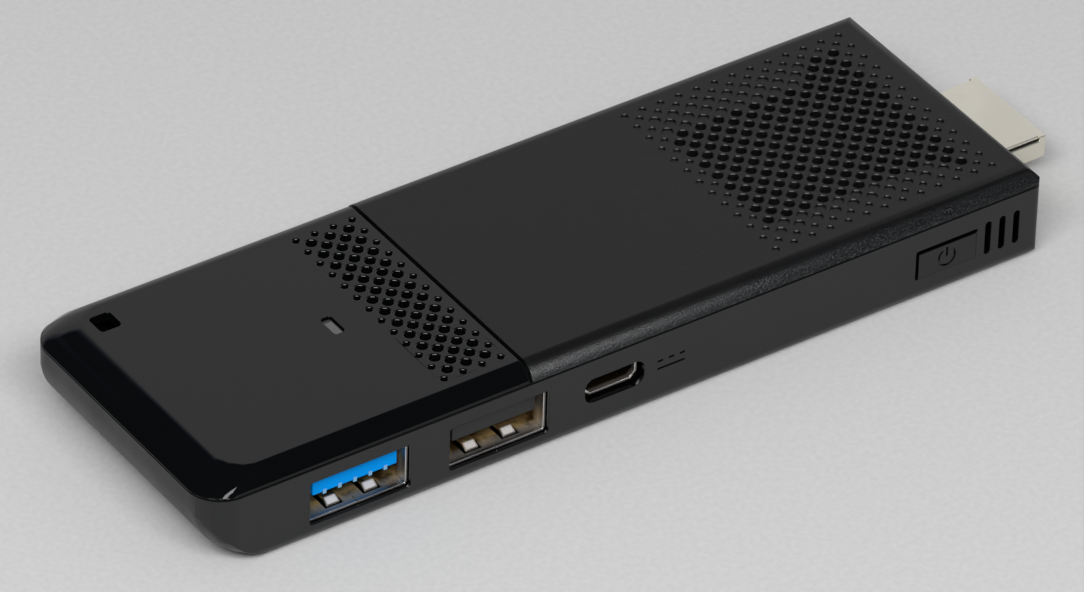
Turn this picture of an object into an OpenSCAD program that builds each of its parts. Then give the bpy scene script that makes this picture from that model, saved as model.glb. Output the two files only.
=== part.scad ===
// Stick computer with an HDMI plug: case, ports, button, fan and board.
// The plug points along +X, the ports face -Y, and the case rests on Z = 0.

/* [Case] */
// Length of the case without the plug
body_l = 113; // [105:0.5:130]
// Width of the case
body_w = 38; // [37:0.5:46]
// Height of the case
body_h = 12; // [11.8:0.1:15]
// Thickness of the tray's walls and floor, and of the covers' sides
wall = 1.2; // [1:0.05:1.5]
// Thickness of the covers' tops
cover_t = 1.2; // [0.8:0.05:1.3]
// Height of the tray's outer rim
rim_z = 9.75; // [9.2:0.05:9.9]
// Shadow gap between the rim and the covers
seam = 0.25; // [0.1:0.05:0.4]
// Plan radius of the two corners at the glossy end
end_corner_r = 4.3; // [3.6:0.1:6]
// Plan radius of the two corners at the plug end
plug_corner_r = 1; // [0.4:0.1:2]
// Radius of the covers' long top edges
edge_r = 2.4; // [1.8:0.1:2.8]
// Radius of the cover's top edge at the plug end
plug_edge_r = 2.2; // [1:0.1:2.4]
// Radius of the sweep from the glossy end down to the floor
sweep_r = 8.5; // [7:0.1:8.8]
// Length of the gloss cover's slope at its end
end_slope = 5; // [4:0.1:5.4]
// Plan radius of the gloss cover's flat at the glossy end
flat_corner_r = 4; // [3.4:0.1:4.6]
// Radius of the floor's other edges
floor_r = 1.6; // [0.8:0.1:1.8]
// Distance from the glossy end to the split between the covers
split_at = 42.45; // [41.5:0.05:46]
// Width of the split between the covers
split_gap = 0.4; // [0.2:0.05:0.6]
// Step down from the matte cover's top to the gloss cover's
gloss_drop = 0.1; // [0:0.02:0.2]

/* [Vents] */
// Pitch of the vent lattice
vent_pitch = 2.52; // [2.4:0.02:2.6]
// Bore of the main vent holes
vent_d = 1.3; // [1:0.05:1.4]
// Bore of the vent holes along the border
vent_small_d = 0.8; // [0.5:0.05:0.9]
// Depth of the chamfer at each vent hole
vent_chamfer = 0.1; // [0.05:0.01:0.15]
// Depth of the matte cover's blind holes
blind_depth = 0.2; // [0.2:0.02:0.4]
// Depth of the gloss cover's blind holes
gloss_blind_depth = 0.6; // [0.3:0.05:0.7]
// Steps of the large grid, along and across
grid_steps = 12; // [8:2:12]
// Distance from the plug end to the middle of the large grid
grid_from_plug = 19.64; // [19.2:0.02:22]
// Steps of the small grid along the case
small_steps = 3; // [1:1:3]
// Distance from the split to the small grid's first column
small_from_split = 1.58; // [1.2:0.02:2]
// Width of a side slit
slit_w = 0.9; // [0.5:0.05:1.2]
// Length of a side slit
slit_l = 4.6; // [3:0.1:5]
// Pitch of the side slits
slit_pitch = 2; // [1.6:0.1:2.2]
// Distance from the plug end to the first side slit
slit_from_plug = 3.52; // [2.6:0.02:3.6]
// Height of the side slits' middle
slit_z = 5.28; // [4.6:0.02:5.6]

/* [Gloss cover] */
// Distance from the glossy end to the middle of the LED window
led_from_end = 28.25; // [27.6:0.05:29]
// Distance from the centre line to the middle of the LED window
led_y = -0.3; // [-1:0.1:1]
// Size of the LED window along the case
led_w = 1.35; // [1:0.05:1.6]
// Size of the LED window across the case
led_l = 3.2; // [2.4:0.1:3.6]
// Depth of the light pipe's face under the cover's top
led_sink = 0.25; // [0.1:0.05:0.5]
// Distance from the glossy end to the middle of the lanyard slot
strap_from_end = 7.13; // [6.4:0.01:8]
// Distance from the centre line to the middle of the lanyard slot
strap_y = 13.7; // [12:0.1:14]
// Size of the lanyard slot along the case
strap_w = 2.7; // [2:0.1:3]
// Size of the lanyard slot across the case
strap_l = 2.9; // [2:0.1:3.2]

/* [Power button] */
// Distance from the plug end to the root of the button's tab
button_from_plug = 9.33; // [9.2:0.01:9.6]
// Length of the tab
button_l = 7.9; // [7:0.05:8.4]
// Height of the tab
button_h = 3.4; // [3:0.02:3.6]
// Height of the tab's lower edge above the table
button_z = 3.2; // [3:0.05:3.4]
// Width of the slit over the tab
button_slit = 0.6; // [0.4:0.05:0.8]
// Width of the slit at the tab's free end
button_end_slit = 0.46; // [0.3:0.02:0.6]
// Hairline clearance at the tab's root and lower edge
button_clear = 0.03; // [0.03:0.01:0.08]
// Diameter of the power mark
mark_d = 2.55; // [2:0.05:3]
// Line width of the engraved marks
mark_line = 0.3; // [0.2:0.02:0.4]
// Depth of the engraved marks
mark_depth = 0.2; // [0.1:0.05:0.3]

/* [Board] */
// Height of the bosses that carry the board
boss_h = 2.23; // [2:0.01:2.4]
// Diameter of the bosses
boss_d = 4; // [3.4:0.1:4.4]
// Thickness of the board
board_t = 0.8; // [0.6:0.05:1]
// Clearance between the board and the tray's walls
board_gap = 0.3; // [0.2:0.05:0.5]
// Shank diameter of the board's screws
screw_d = 1.6; // [1.2:0.1:1.8]
// Head diameter of the board's screws
screw_head_d = 3; // [2.6:0.1:3.4]
// Head height of the board's screws
screw_head_h = 0.8; // [0.6:0.1:1]
// Clearance around the screws' shanks
screw_gap = 0.1; // [0.05:0.01:0.15]

/* [USB sockets] */
// Distance from the glossy end to the middle of the first socket
usb3_from_end = 19.9; // [19.4:0.05:20.2]
// Distance from the glossy end to the middle of the second socket
usb2_from_end = 38.3; // [37.5:0.05:38.8]
// Inside width of a USB socket
usb_w = 12.5; // [12.3:0.05:12.7]
// Inside height of a USB socket
usb_h = 5.12; // [4.9:0.02:5.2]
// Sheet thickness of the socket shells
sheet = 0.3; // [0.2:0.02:0.35]
// Depth of a USB socket
usb_depth = 13.5; // [12.5:0.1:14]
// Height of the sockets' middle above the middle of the board
usb_rise = 1.24; // [1:0.02:1.3]
// Distance of the shells behind the case's side
port_sink = 0.6; // [0.4:0.05:0.8]
// Clearance between the shells and the case
port_gap = 0.1; // [0.05:0.01:0.2]
// Width of a USB tongue
tongue_w = 11.1; // [10.8:0.05:11.3]
// Thickness of a USB tongue
tongue_t = 1.84; // [1.7:0.02:1.9]
// Gap above a USB tongue
tongue_drop = 0.7; // [0.6:0.02:0.8]
// Distance of the tongue's tip behind the shell's mouth
tongue_sink = 0.6; // [0.4:0.05:1]
// Thickness of the plastic block at the back of a USB socket
usb_block = 3; // [2:0.1:4]
// Width of a leaf spring in a shell's floor
leaf_w = 1.7; // [1.4:0.1:2]
// Length of a leaf spring
leaf_l = 5; // [4:0.1:6]
// Rise of a leaf spring's tip
leaf_rise = 0.55; // [0.3:0.05:0.7]
// Distance between the two leaf springs
leaf_pitch = 5; // [4.4:0.1:5.6]

/* [Micro-USB inlet] */
// Distance from the glossy end to the middle of the inlet
micro_from_end = 53.8; // [53.4:0.05:55]
// Outside width of the inlet's shell
micro_w = 7.3; // [7.2:0.05:7.6]
// Outside height of the inlet's shell
micro_h = 2.65; // [2.3:0.05:2.7]
// Depth of the inlet's shell
micro_depth = 5.4; // [5:0.1:6]
// Distance of the inlet's shell behind the case's side
micro_sink = 1; // [0.6:0.05:1.2]
// Bevel of the shell's two lower corners
micro_bevel = 0.9; // [0.6:0.05:1]
// Margin of the recess around the shell
micro_margin = 0.38; // [0.2:0.02:0.5]

/* [HDMI plug] */
// Reach of the plug beyond the case
plug_out = 9.65; // [9:0.05:10.5]
// Outside width of the plug
plug_w = 13.9; // [13.7:0.05:14]
// Outside height of the plug
plug_h = 4.45; // [4.3:0.05:4.55]
// Sheet thickness of the plug
plug_sheet = 0.35; // [0.25:0.05:0.4]
// Bevel of the plug's two lower corners
plug_bevel = 1.6; // [1.2:0.05:1.8]
// Length of the plug inside the case
plug_in = 4.2; // [3.8:0.1:4.6]
// Drop of the plug's middle under the middle of the board
plug_drop = 0.3; // [0:0.05:0.5]
// Height of the folded sheet's slit along the plug
plug_slit = 0.65; // [0.4:0.05:0.7]
// Length of solid sheet between the slit and the plug's tip
plug_slit_end = 0.9; // [0.6:0.1:2]
// Count of contacts in the plug's upper row
plug_pins = 10; // [8:1:10]

/* [Fan] */
// Clearance between the fan and the button's switch
fan_clear = 0.8; // [0.5:0.05:1.2]
// Wall of the fan's base
fan_wall = 0.8; // [0.6:0.05:1]
// Gap between the fan's lid and the cover
fan_gap = 0.5; // [0.3:0.05:0.7]
// Thickness of the fan's lid
lid_t = 0.4; // [0.3:0.05:0.5]
// Width of the fan's lid around its inlet
inlet_rim = 3.5; // [3:0.1:5]
// Clearance between the blades' tips and the fan's wall
tip_gap = 1.4; // [1:0.05:2]
// Diameter of the rotor's hub
hub_d = 10.4; // [9.6:0.1:11]
// Count of the rotor's blades
blades = 23; // [15:2:29]
// Thickness of a blade
blade_t = 0.4; // [0.3:0.05:0.5]
// Diameter of the rotor's shaft
shaft_d = 1.2; // [1:0.05:1.4]
// Running clearance around the shaft
shaft_gap = 0.03; // [0.02:0.005:0.05]
// Free gap above and below the rotor
rotor_gap = 0.35; // [0.25:0.05:0.4]

/* [Heat path] */
// Side of the processor's package
cpu_side = 17; // [15:0.5:18]
// Height of the processor's package
cpu_h = 0.9; // [0.7:0.05:1]
// Thickness of the thermal pad
pad_t = 0.3; // [0.2:0.05:0.4]
// Thickness of the heat spreader
spreader_t = 0.6; // [0.4:0.05:0.8]

/* [Card socket] */
// Distance from the plug end to the middle of the card socket
card_from_plug = 52; // [50:0.1:53]
// Outside width of the card socket
card_w = 14; // [13.6:0.1:14.6]
// Depth of the card socket
card_depth = 14.5; // [14:0.1:15]
// Outside height of the card socket
card_h = 1.8; // [1.7:0.05:2]
// Width of the card's slot in the wall
card_slot_w = 11.6; // [11.2:0.1:12]
// Height of the card's slot in the wall
card_slot_h = 1; // [0.9:0.05:1.1]
// Travel of the slider
card_travel = 1.2; // [0.8:0.1:1.4]

/* [Hidden] */
$fn = 64;

// Overlap that makes a cut pass its face
cut = 0.5;
// Radius inside the tray's lower edges
inner_r = 0.4;
// Share of an inset that a 45 degree bevel loses
bevel_share = 2 - sqrt(2);

// Ends of the case along X, with the plug and case together centred on X = 0
end_x = (body_l - plug_out) / 2;
left_x = end_x - body_l;
split_x = left_x + split_at;
side_y = body_w / 2;
inner_y = side_y - wall;
cover_z = rim_z + seam;
ceiling_z = body_h - cover_t;
seat_t = wall / 2;
seat_z = rim_z - seat_t;

// Corners of the glossy end: the turns from the end at which they are swept, and their small ease
corner_turns = [22.5, 45, 67.5];
corner_ease = 0.05;
slope_ease = 0.01;
slope_drop = body_h - gloss_drop - cover_z;
far = body_l + body_w;

// Field of open holes in the large grid, in steps from its middle
field_back = 3.5;
field_front = 4;
field_widen = 1;

// Board: its ends, its heights and the notch behind the button
board_end_gap = 3.2;
board_corner_r = 3;
board_notch = 0.9;
board_z = wall + boss_h;
board_top = board_z + board_t;
board_mid = board_z + board_t / 2;
board_x0 = left_x + wall + board_end_gap;
board_x1 = end_x - plug_in - port_gap;
board_y = inner_y - board_gap;

// Screws of the board: distances from the board's ends and sides, bore and cross
screw_end_gap = 6;
screw_plug_gap = 36.1;
screw_last_gap = 2.2;
screw_side_gap = 3.4;
screw_port_gap = 4.2;
screw_spots = [
  [board_x0 + screw_end_gap, board_y - screw_port_gap],
  [board_x0 + screw_end_gap, screw_port_gap - board_y],
  [board_x1 - screw_plug_gap, board_y - screw_side_gap],
  [board_x1 - screw_plug_gap, screw_port_gap - board_y],
  [board_x1 - screw_last_gap, board_y - screw_side_gap]];
bore_lift = 0.2;
screw_tip_gap = 0.1;
cross_w = 0.3;

// USB sockets: middles, tongues, folded shells with their leaf springs, contact strips
usb_z = board_mid + usb_rise;
usb_out_w = usb_w + 2 * sheet;
usb_out_h = usb_h + 2 * sheet;
usb_y = -side_y + port_sink;
tongue_top = usb_z + usb_h / 2 - tongue_drop;
tongue_z = tongue_top - tongue_t;
shell_r = 0.2;
fold_w = 0.1;
fold_l = 1.2;
leaf_from_mouth = 1.1;
leaf_slot = 0.35;
leaf_hold = 0.2;
leaf_tip = 0.8;
leaf_t = sheet * 0.8;
strip_t = 0.15;
strip_w = 1;
strip_y0 = usb_y + tongue_sink + 1.6;
strip_y1 = usb_y + usb_depth - usb_block;
strip_spots = [-3.5, -1, 1, 3.5];
dot_t = 0.2;
dot_w = 0.45;
dot_l = 0.7;
dot_y = usb_y + tongue_sink + 0.1;
dot_spots = [-4, -2, 0, 2, 4];
tip_t = 0.06;
tip_h = 0.4;

// Power inlet and the mark beside it
micro_y = -side_y + micro_sink;
micro_z = board_top + micro_h / 2;
micro_tongue_w = 3.9;
micro_tongue_t = 0.6;
micro_tongue_drop = 0.35;
micro_tongue_z = micro_z + micro_h / 2 - sheet - micro_tongue_t - micro_tongue_drop;
micro_block = 1;
micro_pin_w = 0.36;
micro_pin_pitch = 0.65;
micro_pin_in = 0.3;
dc_l = 3.75;
dc_gap = 2.15;
dc_rise = 0.53;
dc_dash = dc_l / 5;

// Plug: its core, hollow for the socket's tongue, and its contacts
plug_z = board_mid - plug_drop;
core_gap = 0.05;
cavity_w = 11.4;
cavity_h = 1.9;
cavity_end = 0.4;
cavity_l = plug_out - cavity_end;
cavity_r = 0.2;
core_sink = 0.5;
pin_pitch = 1;
pin_w = 0.45;
pin_t = 0.15;
pin_sink = 1.1;

// Button tab, its mark, its switch and the hinge at its root
button_x = end_x - button_from_plug;
button_y = -side_y + wall / 2;
button_top = button_z + button_h;
mark_gap = 1.1;
nub_l = 0.45;
nub_w = 1.2;
press_x = button_x - button_l / 2;
plunger_gap = 0.04;
plunger_l = 0.9;
plunger_y = -inner_y + nub_l + plunger_gap;
plunger_in = 1.2;
plunger_w = 1.5;
plunger_h = 0.9;
plunger_clear = 0.06;
switch_w = 4;
switch_d = 2.6;
switch_h = 1.7;
switch_y = plunger_y + plunger_l;
switch_z = board_top + switch_h / 2;
switch_stroke = 0.25;

// Lamp under the gloss cover
lamp_x = left_x + led_from_end;
lamp_w = 0.8;
lamp_l = 1.6;
lamp_h = 0.6;
pipe_gap = 0.06;
lamp_gap = 1.5;

// Heat path and fan, stacked from the board up to the cover
grid_x = end_x - grid_from_plug;
cpu_top = board_top + cpu_h;
spreader_z = cpu_top + pad_t;
fan_z = spreader_z + spreader_t;
fan_top = ceiling_z - fan_gap;
lid_z = fan_top - lid_t;
fan_side = -2 * (switch_y + switch_d + fan_clear);
fan_floor = 0.5;
fan_floor_z = fan_z + fan_floor;
fan_bore_r = fan_side / 2 - fan_wall;
inlet_d = fan_side - 2 * inlet_rim;
fan_corner_r = 1;
rotor_d = 2 * (fan_bore_r - tip_gap);
rotor_z0 = fan_floor_z + rotor_gap;
rotor_z1 = lid_z - rotor_gap;
shaft_z = fan_floor_z + 2 * rotor_gap;
blade_sweep = 28;
hub_wall = 0.5;
bearing_d = 3;
bearing_z1 = rotor_z1 - hub_wall - rotor_gap;
stator_gap = 0.4;
stator_w = 1.5;
stator_ring = 0.8;
stator_h = (bearing_z1 - fan_floor_z) * 0.75;
fan_screw_d = 1.2;
fan_screw_head_d = 2.2;
fan_screw_head_h = 0.35;
fan_screw_inset = 1.9;
fan_corner = fan_side / 2 - fan_screw_inset;
leg_d = 3;

// Chips and small parts on the board
chip_h = 1;
chip_y = 6.5;
memory_w = 10;
memory_l = 9;
memory_dx = 6.5;
memory_dy = 7;
storage_w = 11.5;
storage_l = 13;
storage_x = lamp_x + led_w / 2 + lamp_gap + storage_w / 2;
wifi_w = 12;
wifi_l = 13;
wifi_h = 1.6;
wifi_x = lamp_x - led_w / 2 - lamp_gap - wifi_w / 2;
aerial_w = 1.6;
aerial_l = 5;
aerial_h = 0.9;
aerial_y = 6;
aerial_gap = 0.6;
choke_w = 4;
choke_h = 2;
choke_pitch = 5;
choke_gap = 3.2;
choke_y = -7.5;
choke_x0 = left_x + usb2_from_end + usb_out_w / 2 + choke_gap + choke_w / 2;
cap_w = 0.9;
cap_l = 1.6;
cap_h = 0.8;
cap_pitch = 2.2;
cap_y = choke_y + 4.3;

// Card socket on the far side
card_x = end_x - card_from_plug;
card_y1 = board_y;
card_y0 = card_y1 - card_depth;
card_mid_y = (card_y0 + card_y1) / 2;
card_floor = 0.4;
card_sheet = 0.2;
card_back = 1;
card_mid = board_top + card_floor + (card_h - card_floor - card_sheet) / 2;
slider_w = 1.6;
slider_gap = 0.1;
slider_in = 4;
slider_spring = 2.3;
slider_l = card_depth - card_back - slider_in - card_travel - slider_spring;

// Snap hooks of the covers, as distances from the split
gloss_hooks = [-13.5];
matte_hooks = [5.2, 31.5];
hook_w = 3;
hook_t = 0.8;
hook_l = 1.6;
hook_gap = 0.06;

// A rectangle with round corners, centred
module rounded_rect(w, h, r) {
  square([w - 2 * r, h], center = true);
  square([w, h - 2 * r], center = true);
  for (sx = [-1, 1], sy = [-1, 1])
    translate([sx * (w / 2 - r), sy * (h / 2 - r)]) circle(r);
}

// A connector's outline, wide side up, with its two lower corners bevelled; its middle is the origin
module bevelled_outline(w, h, bevel, inset = 0) {
  hw = w / 2 - inset;
  hh = h / 2 - inset;
  b = bevel - inset * bevel_share;
  polygon([[-hw, hh], [hw, hh], [hw, -hh + b], [hw - b, -hh], [-hw + b, -hh], [-hw, -hh + b]]);
}

// Lays a drawing of Y and Z along X
module along_x(x0, x1) {
  translate([x0, 0, 0]) rotate([90, 0, 90]) linear_extrude(x1 - x0) children();
}

// Lays a drawing of X and Z along Y
module along_y(y0, y1) {
  translate([0, y1, 0]) rotate([90, 0, 0]) linear_extrude(y1 - y0) children();
}

// Plan of the case, inset by d
module case_plan(d) {
  big = end_corner_r - d;
  small = d > 0 ? inner_r : plug_corner_r;
  hw = side_y - d;
  x0 = left_x + d;
  x1 = end_x - d;
  translate([x0 + big, -hw]) square([x1 - small - x0 - big, 2 * hw]);
  translate([x0, big - hw]) square([x1 - x0 - small, 2 * (hw - big)]);
  translate([x0 + big, small - hw]) square([x1 - x0 - big, 2 * (hw - small)]);
  for (s = [-1, 1]) {
    translate([x0 + big, s * (hw - big)]) circle(big);
    translate([x1 - small, s * (hw - small)]) circle(small);
  }
}

// Side view of the tray, inset by d: the glossy end sweeps down to the floor
module case_profile(d, top) {
  sweep = sweep_r - d;
  small = d > 0 ? inner_r : floor_r;
  x0 = left_x + d;
  x1 = end_x - d;
  translate([left_x + sweep_r, d]) square([x1 - small - left_x - sweep_r, top - d]);
  translate([x0, sweep_r]) square([x1 - x0, top - sweep_r]);
  translate([left_x + sweep_r, d + small]) square([x1 - left_x - sweep_r, top - d - small]);
  translate([left_x + sweep_r, sweep_r]) circle(sweep);
  translate([x1 - small, d + small]) circle(small);
}

// End view of the tray, inset by d
module case_section(d, top) {
  small = d > 0 ? inner_r : floor_r;
  hw = side_y - d;
  translate([-hw + small, d]) square([2 * (hw - small), top - d]);
  translate([-hw, d + small]) square([2 * hw, top - d - small]);
  for (s = [-1, 1]) translate([s * (hw - small), d + small]) circle(small);
}

// Lays a drawing of reach and height across a corner of the glossy end, turned by a from the end on side s
module at_corner(a, s) {
  translate([left_x + end_corner_r, s * (side_y - end_corner_r), 0]) rotate([0, 0, 180 - s * a])
    along_y(-far, far) children();
}

// Sweep under a corner, inset by d: its radius goes from the end's to the floor's as it is turned by a
module corner_sweep(a, d, top) {
  reach = end_corner_r + corner_ease;
  r = floor_r + (sweep_r - floor_r) * cos(a);
  z = r - corner_ease;
  translate([-far, z]) square([far + reach - d, top - z]);
  translate([-far, -cut]) square([far + reach - r, top + cut]);
  translate([reach - r, z]) circle(r - d);
}

// The tray's block, inset by d and cut off at the height top
module tray_block(d, top) {
  intersection() {
    linear_extrude(top) case_plan(d);
    along_x(left_x - cut, end_x + cut) case_section(d, top + cut);
    along_y(-side_y - cut, side_y + cut) case_profile(d, top + cut);
    intersection_for(a = corner_turns, s = [-1, 1]) at_corner(a, s) corner_sweep(a, d, top + cut);
  }
}

// Half profile of a plate's edge, round above, from 0 out to reach and from z0 up
module edge_profile(reach, z0, top, r) {
  intersection() {
    union() {
      square([reach - r, top]);
      square([reach, top - r]);
      translate([reach - r, top - r]) circle(r);
    }
    translate([0, z0]) square([reach, top - z0]);
  }
}

// The covers' block, inset by d, from x0 to x1, with round long edges
module cover_block(d, z0, top, x0, x1) {
  along_x(x0, x1) {
    edge_profile(side_y - d, z0, top, edge_r - d);
    mirror([1, 0]) edge_profile(side_y - d, z0, top, edge_r - d);
  }
}

// Slope of the gloss cover, inset by d, turned by a from the end: an arc from its flat down to its rim
module end_slope_profile(a, d) {
  round_in = flat_corner_r - end_corner_r;
  u = flat_corner_r - (round_in + end_slope) * cos(a) - (round_in + edge_r) * sin(a);
  l = end_corner_r + corner_ease - u;
  r = (l * l + slope_drop * slope_drop) / (2 * slope_drop);
  translate([-far, 0]) square([far + u, body_h + cut]);
  intersection() {
    translate([u, body_h - r + slope_ease]) circle(r - d);
    translate([u - cut, 0]) square([r + cut, body_h + cut]);
  }
}

// The gloss cover's block, inset by d, up to x1: its end and its corners slope down to the rim
module gloss_block(d, z0, top, x1) {
  intersection() {
    linear_extrude(body_h + cut) case_plan(d);
    cover_block(d, z0, top, left_x - cut, x1);
    at_corner(0, 1) end_slope_profile(0, d);
    intersection_for(a = corner_turns, s = [-1, 1]) at_corner(a, s) end_slope_profile(a, d);
  }
}

// Centres of a centred square lattice: [along, across, 1 where the hole is on the border]
function lattice(nx, ny, rings) = concat(
  [for (i = [0 : nx], j = [0 : ny]) [i - nx / 2, j - ny / 2, min(i, j, nx - i, ny - j) == 0 ? 1 : 0]],
  [for (i = [0 : nx - 1], j = [0 : ny - 1]) [i + 0.5 - nx / 2, j + 0.5 - ny / 2,
    rings > 1 && min(i, j, nx - 1 - i, ny - 1 - j) == 0 ? 1 : 0]]);

// Whether a hole of the large grid is open: in a field over the fan, which widens towards the plug
function over_fan(p) = max(abs(p[0]), abs(p[1])) < grid_steps / 2
  && (p[1] >= -field_front && p[1] <= field_back || p[0] - abs(p[1]) + (p[1] > 0 ? field_widen : 0) >= 0);

// Cutter for a vent grid, with a chamfer at the top face; a hole that isn't open ends at the depth blind
module vent_cutter(spots, blind, all_open) {
  for (p = spots) {
    r = (p[2] == 1 ? vent_small_d : vent_d) / 2;
    z = body_h - (p[2] == 0 && (all_open || over_fan(p)) ? cover_t + cut : blind);
    translate([p[0] * vent_pitch, p[1] * vent_pitch, 0]) rotate_extrude()
      polygon([[0, z], [r, z], [r, body_h - vent_chamfer], [r + vent_chamfer + cut, body_h + cut],
        [0, body_h + cut]]);
  }
}

// A cover's snap hook at distance g from the split, on side s
module snap_hook(g, s) {
  y = inner_y - hook_gap;
  translate([split_x + g - hook_w / 2, s > 0 ? y - hook_t : -y, cover_z - hook_l])
    cube([hook_w, hook_t, ceiling_z + cover_t / 2 - cover_z + hook_l]);
}

// Lower half of the case, with the board's bosses and the cuts for every port
module bottom_tray() color("#2c2d31") difference() {
  union() {
    difference() {
      tray_block(0, rim_z);
      tray_block(wall, rim_z + cut);
    }
    difference() {
      translate([0, 0, seat_z]) linear_extrude(cover_z - seat_z) case_plan(seat_t);
      translate([0, 0, seat_z - cut]) linear_extrude(cover_z - seat_z + 2 * cut) case_plan(wall);
    }
    for (p = screw_spots) translate([p[0], p[1], wall / 2]) cylinder(h = board_z - wall / 2, d = boss_d);
  }
  for (p = screw_spots)
    translate([p[0], p[1], wall + bore_lift]) cylinder(h = board_z, d = screw_d + 2 * screw_gap);
  for (g = [usb3_from_end, usb2_from_end]) port_cut(left_x + g, usb_z)
    rounded_rect(usb_out_w + 2 * port_gap, usb_out_h + 2 * port_gap, port_gap + sheet);
  port_cut(left_x + micro_from_end, micro_z)
    rounded_rect(micro_w + 2 * micro_margin, micro_h + 2 * micro_margin, micro_bevel + micro_margin);
  translate([0, 0, plug_z]) along_x(end_x - wall - cut, end_x + cut)
    bevelled_outline(plug_w, plug_h, plug_bevel, -port_gap);
  for (i = [0 : 2]) port_cut(end_x - slit_from_plug - i * slit_pitch, slit_z) {
    square([slit_w, slit_l - slit_w], center = true);
    for (s = [-1, 1]) translate([0, s * (slit_l - slit_w) / 2]) circle(d = slit_w);
  }
  button_window();
  direct_current_mark();
  translate([card_x, inner_y + wall / 2, card_mid])
    cube([card_slot_w, wall + 2 * cut, card_slot_h], center = true);
}

// Cuts a drawing through the port side's wall at x, z
module port_cut(x, z) {
  translate([x, 0, z]) along_y(-side_y - cut, -inner_y + cut) children();
}

// Window of the button: slits over the tab and at its free end, a round seat at its root
module button_window() {
  top = button_top + button_slit;
  x0 = button_x - button_l - button_end_slit;
  r = button_slit / 2;
  along_y(-side_y - cut, -inner_y + cut) {
    translate([x0, button_z - button_clear]) square([button_x - x0, top - button_z + button_clear - r]);
    translate([x0 + r, button_z]) square([button_x - x0 - r, top - button_z]);
    translate([button_x, top - r]) circle(r);
    translate([x0 + r, top - r]) circle(r);
  }
  translate([button_x, button_y, button_z - button_clear])
    cylinder(h = button_h + button_clear, d = wall + 2 * button_clear);
}

// Direct-current mark beside the inlet: a broken line over a whole one
module direct_current_mark() {
  translate([left_x + micro_from_end + micro_w / 2 + dc_gap, -side_y - cut, micro_z - mark_line / 2]) {
    translate([0, 0, -dc_rise]) cube([dc_l, cut + mark_depth, mark_line]);
    for (i = [0 : 2]) translate([i * (dc_l - dc_dash) / 2, 0, dc_rise])
      cube([dc_dash, cut + mark_depth, mark_line]);
  }
}

// Matte cover with the large vent grid
module top_cover() color("#232427") difference() {
  union() {
    difference() {
      cover_block(0, cover_z, body_h, split_x + split_gap / 2, end_x);
      cover_block(wall, cover_z - cut, ceiling_z, split_x, end_x - wall);
      plug_corners();
    }
    for (g = matte_hooks, s = [-1, 1]) snap_hook(g, s);
  }
  translate([grid_x, 0, 0]) vent_cutter(lattice(grid_steps, grid_steps, 2), blind_depth, false);
}

// Rounds the cover's two corners and its top edge at the plug end
module plug_corners() {
  r = plug_corner_r;
  translate([end_x - plug_edge_r, 0, body_h - plug_edge_r]) difference() {
    translate([0, -side_y - cut, 0]) cube([plug_edge_r + cut, body_w + 2 * cut, plug_edge_r + cut]);
    rotate([90, 0, 0]) cylinder(h = body_w + 4 * cut, r = plug_edge_r, center = true);
  }
  for (s = [-1, 1]) translate([end_x - r, s * (side_y - r), 0]) difference() {
    translate([0, s > 0 ? 0 : -r - cut, 0]) cube([r + cut, r + cut, body_h + cut]);
    translate([0, 0, -cut]) cylinder(h = body_h + 3 * cut, r = r);
  }
}

// Glossy end cover with the small vent grid, the LED window and the lanyard slot
module gloss_cover() color("#0c0d10") translate([0, 0, -gloss_drop]) difference() {
  union() {
    difference() {
      gloss_block(0, cover_z + gloss_drop, body_h, split_x - split_gap / 2);
      gloss_block(wall, cover_z - cut, ceiling_z, split_x);
    }
    for (g = gloss_hooks, s = [-1, 1]) snap_hook(g, s);
  }
  translate([split_x - small_from_split - small_steps * vent_pitch / 2, 0, 0])
    vent_cutter(lattice(small_steps, grid_steps, 1), gloss_blind_depth, true);
  translate([lamp_x, led_y, ceiling_z - cut]) linear_extrude(cover_t + 2 * cut)
    rounded_rect(led_w, led_l, led_w / 4);
  translate([left_x + strap_from_end, strap_y, ceiling_z - cut]) linear_extrude(cover_t + 2 * cut)
    rounded_rect(strap_w, strap_l, strap_w / 6);
}

// Clear pipe that carries the lamp's light up to the cover
module led_light_pipe() color("#cfd6dc") {
  z0 = board_top + lamp_h + pipe_gap;
  translate([lamp_x, led_y, z0]) linear_extrude(body_h - gloss_drop - led_sink - z0)
    rounded_rect(led_w - 2 * pipe_gap, led_l - 2 * pipe_gap, led_w / 4 - pipe_gap);
}

// Status lamp on the board
module led_chip() color("#f2efe4") on_board(lamp_x, led_y, lamp_w, lamp_l, lamp_h);

// Tab of the power button, with its round root, the engraved mark and the nub inside
module power_button() color("#303136") difference() {
  union() {
    translate([button_x - button_l, -side_y, button_z]) cube([button_l, wall, button_h]);
    translate([button_x, button_y, button_z]) cylinder(h = button_h, d = wall);
    translate([press_x, -inner_y, switch_z]) rotate([-90, 0, 0]) cylinder(h = nub_l, d = nub_w);
  }
  translate([press_x, 0, button_z + button_h / 2]) along_y(-side_y - cut, -side_y + mark_depth) power_mark();
}

// A broken ring with a bar in its gap
module power_mark() {
  r = mark_d / 2;
  difference() {
    circle(r);
    circle(r - mark_line);
    translate([-mark_gap / 2, 0]) square([mark_gap, r + cut]);
  }
  translate([-mark_line / 2, mark_line / 3]) square([mark_line, r]);
}

// Body of the side switch
module switch_body() color("#d8d8d4") difference() {
  translate([press_x - switch_w / 2, switch_y, board_top]) cube([switch_w, switch_d, switch_h]);
  translate([press_x, switch_y, switch_z]) cube([plunger_w + 2 * plunger_clear,
    2 * (plunger_in + switch_stroke + plunger_clear), plunger_h + 2 * plunger_clear], center = true);
}

// Plunger of the side switch
module switch_plunger() color("#1c1c1e")
  translate([press_x - plunger_w / 2, plunger_y, switch_z - plunger_h / 2])
    cube([plunger_w, plunger_l + plunger_in, plunger_h]);

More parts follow.
